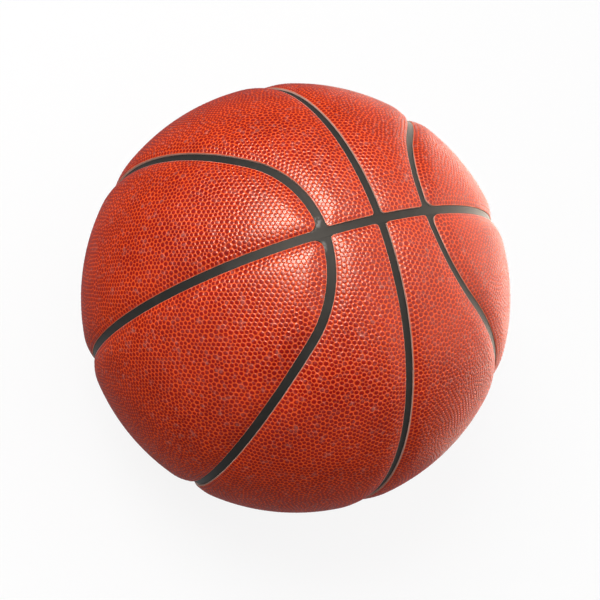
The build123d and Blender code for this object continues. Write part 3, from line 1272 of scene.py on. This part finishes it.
@dataclass(frozen=True)
class SeamStrips:
    """Rubber strips in the channels: a closed ring, two half rings and four half loops."""

    layout: SeamLayout
    finish: SeamRubber
    half_width: float = 2.2
    base_radius: float = 117.85
    top_radius: float = 118.45
    dish: float = 0.12
    edge_round: float = 0.02
    flare_share: float = 0.97
    step: float = 0.3
    sharp_over: float = 50.0

    def profile(self) -> tuple[np.ndarray, np.ndarray]:
        """Section of a strip, from the right-hand foot over the dished top to the left-hand one.

        Returns:
            Shares of the half width, from -1 on the right to +1 on the left, and radii.
        """
        shares = np.array([-1.0, -1.0, -0.93, -0.6, 0.0, 0.6, 0.93, 1.0, 1.0])
        lowered = np.array([0.0, 0.0, 0.0, 0.65, 1.0, 0.65, 0.0, 0.0, 0.0]) * self.dish
        radii = self.top_radius - lowered
        radii[[1, -2]] -= self.edge_round
        radii[[0, -1]] = self.base_radius
        return shares, radii

    def flare(self, along: np.ndarray, radius: float) -> np.ndarray:
        """Extra width at an end, which fills the round corner of the panel beside it.

        It is the radius less the height of a circle of that radius, at the distance from the strip it meets.

        Args:
            along: distances from the strip that it meets, in millimetres.
            radius: radius of the panel's corner, in millimetres.

        Returns:
            The extra widths, in millimetres.
        """
        left = np.clip(radius - along, 0.0, radius)
        return radius - np.sqrt(radius**2 - left**2)

    def carried(self, path: np.ndarray, corners: tuple[float, float], closed: bool) -> Surface:
        """Section carried along a path on the ball.

        A point of the section goes the distance of its share sideways along the ball from the path, at its
        own radius: the path's direction times the cosine of that angle plus the sideways direction times its
        sine.

        Args:
            path: directions along the strip.
            corners: radius of the panels' corners at the strip's ends, on its left and on its right.
            closed: whether the path is a ring.

        Returns:
            The closed surface.
        """
        shares, radii = self.profile()
        if closed:
            ahead = np.roll(path, -1, axis=0) - np.roll(path, 1, axis=0)
        else:
            ahead = np.gradient(path, axis=0)
        left = unit(np.cross(path, ahead))
        along = np.concatenate([[0.0], np.cumsum(np.linalg.norm(np.diff(path, axis=0), axis=1))])
        along *= self.layout.ball_radius
        end = np.minimum(along, along[-1] - along)
        widths = np.full((len(path), 2), self.half_width)
        if not closed:
            widths += np.stack([self.flare(end, corner) * self.flare_share for corner in corners], axis=1)
        side = np.where(shares > 0, widths[:, :1] * shares, widths[:, 1:] * shares) / radii
        points = np.cos(side)[..., None] * path[:, None] + np.sin(side)[..., None] * left[:, None]
        points = points * radii[:, None]
        rows, columns = points.shape[:2]
        grid = np.arange(rows * columns).reshape(rows, columns)
        if closed:
            grid = np.vstack([grid, grid[:1]])
        round_grid = np.hstack([grid, grid[:, :1]])
        here, there = round_grid[:-1], round_grid[1:]
        quads = np.stack([here[:, :-1], here[:, 1:], there[:, 1:], there[:, :-1]], axis=2).reshape(-1, 4)
        faces = [quads] if closed else [quads, grid[:1, ::-1], grid[-1:]]
        return Surface(points.reshape(-1, 3), faces).facing_out()

    def trimmed(self, arcs: list[np.ndarray]) -> np.ndarray:
        """Path of arcs, cut back at both ends to the side of the long strip.

        An end is where the line between the last point inside the long strip and the first outside leaves it.

        Args:
            arcs: directions along each arc of the path.

        Returns:
            Directions along the path that is left.
        """
        path = np.vstack(arcs)
        side = math.sin(self.half_width / self.top_radius)
        clear = np.flatnonzero(path[:, 0] > side)
        ends = []
        for inside, outside in ((clear[0] - 1, clear[0]), (clear[-1] + 1, clear[-1])):
            share = (side - path[inside, 0]) / (path[outside, 0] - path[inside, 0])
            ends.append(unit(path[inside] + share * (path[outside] - path[inside]))[None])
        return np.vstack([ends[0], path[clear], ends[1]])

    def build(self) -> None:
        """Make the strips in place of their solids."""
        material = self.finish.material()
        layout = self.layout
        gap = self.step / layout.ball_radius
        long_arc = SeamArc(RIGHT, math.pi / 2)
        ring = np.vstack([long_arc.sample(REAR, -REAR, gap), long_arc.sample(-REAR, REAR, gap)])
        middle = self.trimmed([SeamArc(REAR, math.pi / 2).sample(TOP, -TOP, gap)])
        ends = {height: SeamArc(layout.end_axis(height), layout.end_radius) for height in (1, -1)}
        touch = {height: towards(end.axis, layout.side_pole, end.radius) for height, end in ends.items()}
        upper = ends[1].sample(layout.crossing(1), touch[1], gap)
        straight = SeamArc(-layout.side_pole, math.pi / 2).sample(touch[1], touch[-1], gap)
        lower = ends[-1].sample(touch[-1], layout.crossing(-1), gap)
        loop = self.trimmed([upper, straight, lower])
        strips = {"long": self.carried(ring, (0.0, 0.0), True)}
        half = self.carried(middle, (layout.side_corner, layout.side_corner), False)
        strips["middle_right"] = half
        strips["middle_left"] = half.turned(Quarter.FRONT_LEFT)
        half_loop = self.carried(loop, (layout.loop_corner, layout.side_corner), False)
        for quarter in Quarter:
            strips[f"loop_{quarter.label}"] = half_loop.turned(quarter)
        for label, surface in strips.items():
            piece = surface.piece(f"strip_{label}", self.sharp_over)
            piece.data.materials.append(material)
            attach(piece, "ball")
            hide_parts(f"seam_strip_{label}")
            LOG.info("strip_%s: %d faces", label, len(piece.data.polygons))


@dataclass(frozen=True)
class InnerPieces:
    """Valve and inner layers, which keep their solids' shapes and get their finishes here."""

    valve: InnerFinish = InnerFinish(
        "valve_rubber",
        colour=(0.030, 0.030, 0.030, 1.0),
        varied=(0.045, 0.045, 0.044, 1.0),
        roughness=0.48,
        cells=2600.0,
        grain_depth=0.05,
    )
    carcass: InnerFinish = InnerFinish(
        "carcass_rubber",
        colour=(0.034, 0.034, 0.033, 1.0),
        varied=(0.050, 0.050, 0.048, 1.0),
        roughness=0.70,
        cells=900.0,
        grain_depth=0.12,
    )
    bladder: InnerFinish = InnerFinish(
        "butyl_bladder",
        colour=(0.022, 0.022, 0.024, 1.0),
        varied=(0.036, 0.036, 0.037, 1.0),
        roughness=0.42,
        cells=500.0,
        grain_depth=0.06,
    )
    sponge: InnerFinish = InnerFinish(
        "sponge_pad",
        colour=(0.52, 0.46, 0.34, 1.0),
        varied=(0.60, 0.55, 0.44, 1.0),
        roughness=0.92,
        cells=1400.0,
        grain_depth=0.35,
    )
    thread: WoundThread = WoundThread()

    def dress(self, nodes: dict[str, bpy.types.Object]) -> None:
        """Give each kept solid its material.

        Args:
            nodes: the solids' objects by name.
        """
        finishes = {
            "valve_core": self.valve,
            "valve_seat": self.valve,
            "carcass": self.carcass,
            "bladder": self.bladder,
            "thread_winding": self.thread,
        }
        finishes.update({name: self.sponge for name in nodes if name.startswith("foam_pad")})
        made: dict[str, bpy.types.Material] = {}
        for name, finish in finishes.items():
            if finish.name not in made:
                made[finish.name] = finish.material()
            nodes[name].data.materials.clear()
            nodes[name].data.materials.append(made[finish.name])
            LOG.info("%s: %s", name, finish.name)


@dataclass(frozen=True)
class Lamp:
    """Soft round lamp that points at a place.

    It is one disc, or several of even steps in size that share its power.
    """

    name: str
    place: Place
    size: float
    power: float
    aim: Place = (0.0, 0.0, 0.0)
    discs: int = 1
    only_gloss: bool = False
    colour: Place = (1.0, 1.0, 1.0)

    def build(self) -> None:
        """Make the lamp, which the camera doesn't see.

        All its discs are equally bright, so a disc's power goes with the square of its size.
        """
        steps = range(1, self.discs + 1)
        whole = sum(step**2 for step in steps)
        for step in steps:
            light = bpy.data.lights.new(f"{self.name}_{step}", "AREA")
            light.shape = "DISK"
            light.size = self.size * step / self.discs
            light.energy = self.power * step**2 / whole
            light.color = self.colour
            lamp = bpy.data.objects.new(light.name, light)
            lamp.location = self.place
            lamp.rotation_euler = (Vector(self.place) - Vector(self.aim)).to_track_quat("Z", "Y").to_euler()
            lamp.visible_camera = False
            lamp.visible_diffuse = not self.only_gloss
            bpy.context.scene.collection.objects.link(lamp)


@dataclass(frozen=True)
class GlossLamp(Lamp):
    """Warm lamp that shows in reflections alone."""

    only_gloss: bool = True
    colour: Place = (1.0, 0.85, 0.71)


@dataclass(frozen=True)
class Studio:
    """White floor, soft surroundings, lamps and the camera, in metres.

    To the camera and in reflections the surroundings are a white wall, low down, under a dim ceiling. Their
    soft light on the ball comes more from one side than from the other.
    """

    right: Place = (0.31997, 0.88468, 0.33905)
    up: Place = (-0.92347, 0.21126, 0.32026)
    back: Place = (0.2117, -0.41558, 0.88458)
    distance: float = 0.6325
    lens: float = 66.05
    sensor_width: float = 36.0
    clip_start: float = 0.01
    shift_x: float = 0.0073
    shift_y: float = -0.0033
    floor_size: float = 6.0
    floor_gap: float = 0.0002
    floor_albedo: float = 0.15
    floor_glow: float = 0.85
    ceiling_strength: float = 0.10
    wall_height: Span = (0.27, 0.36)
    soft_strength: float = 0.70
    soft_side: Place = (-0.773, 0.268, 0.560)
    soft_fade: Span = (-0.43, -0.20)
    lamps: tuple[Lamp, ...] = (
        Lamp("key_lamp", (-0.42, -0.43, 1.15), size=0.6, power=7.3),
        GlossLamp("gloss_lamp", (-0.425, -0.30, 1.20), size=0.65, power=66.0),
        GlossLamp("near_lamp", (-0.01, -0.38, 1.24), size=0.45, power=16.0),
        GlossLamp("side_lamp", (0.0, 0.63, 0.18), size=0.9, power=26.0, aim=(0.0, 0.13, 0.68), discs=3),
        GlossLamp("rear_lamp", (0.13, 0.66, 0.74), size=2.0, power=68.0, discs=3),
        GlossLamp("low_lamp", (0.0, 0.75, -0.119), size=1.25, power=26.0, aim=(0.0, 0.75, 1.0), discs=3),
    )

    def camera(self) -> None:
        """Camera at the view of the photograph."""
        data = bpy.data.cameras.new("camera")
        data.sensor_width = self.sensor_width
        data.lens = self.lens
        data.shift_x = self.shift_x
        data.shift_y = self.shift_y
        data.clip_start = self.clip_start
        data.dof.use_dof = False
        camera = bpy.data.objects.new("camera", data)
        axes = Matrix((self.right, self.up, self.back)).transposed().to_4x4()
        axes.translation = Vector(self.back).normalized() * self.distance
        camera.matrix_world = axes
        bpy.context.scene.collection.objects.link(camera)
        bpy.context.scene.camera = camera

    def floor(self, height: float) -> None:
        """Pale floor that shows white and keeps the ball's shadow.

        Args:
            height: height of the floor, in metres.
        """
        half = self.floor_size / 2
        sides = np.array([(-half, -half), (half, -half), (half, half), (-half, half)])
        corners = np.column_stack([sides, np.full(4, height)])
        mesh = bpy.data.meshes.new("floor")
        mesh.from_pydata(corners.tolist(), [], [(0, 1, 2, 3)])
        floor = bpy.data.objects.new("floor", mesh)
        bpy.context.scene.collection.objects.link(floor)
        shader = Shader.named("white_floor")
        albedo = self.floor_albedo
        matt = shader.node("ShaderNodeBsdfDiffuse", {}, {"Color": (albedo, albedo, albedo, 1.0)})
        glow = shader.node("ShaderNodeEmission", {}, {"Strength": self.floor_glow * shader.bright_rays()})
        mesh.materials.append(shader.finished(shader.node("ShaderNodeAddShader", {}, {0: matt, 1: glow})))

    def world(self) -> None:
        """Wall and ceiling for the rays that show them, and uneven soft light for the rest."""
        shader = Shader(bpy.data.worlds.new("surroundings"))
        way = shader.node("ShaderNodeTexCoord", {}, {}, "Generated")
        height = shader.node("ShaderNodeSeparateXYZ", {}, {"Vector": way}, "Z")
        lean = shader.measure("DOT_PRODUCT", way, self.soft_side)
        low, high = self.wall_height
        shown = self.ceiling_strength + (1 - self.ceiling_strength) * height.between(high, low)
        soft = self.soft_strength * lean.between(*self.soft_fade)
        strength = soft + shader.bright_rays() * (shown - soft)
        sky = shader.node("ShaderNodeBackground", {}, {"Color": (1.0, 1.0, 1.0, 1.0), "Strength": strength})
        bpy.context.scene.world = shader.finished(sky, "ShaderNodeOutputWorld")

    def build(self, foot: float) -> None:
        """Make the whole studio.

        Args:
            foot: height of the ball's lowest point, in metres.
        """
        self.camera()
        self.floor(foot - self.floor_gap)
        self.world()
        for lamp in self.lamps:
            lamp.build()
        bpy.context.scene.view_settings.view_transform = "Standard"


def main() -> None:
    """Build the panels, strips, inner pieces and studio in order."""
    logging.basicConfig(level=logging.INFO, format="%(message)s")
    layout = SeamLayout()
    CoverPanels(layout, PebbledLeather(), ValveHole()).build()
    SeamStrips(layout, SeamRubber()).build()
    InnerPieces().dress(frame["nodes"])
    Studio().build(CAD_BOX[0].z)


if __name__ == "__main__":
    main()
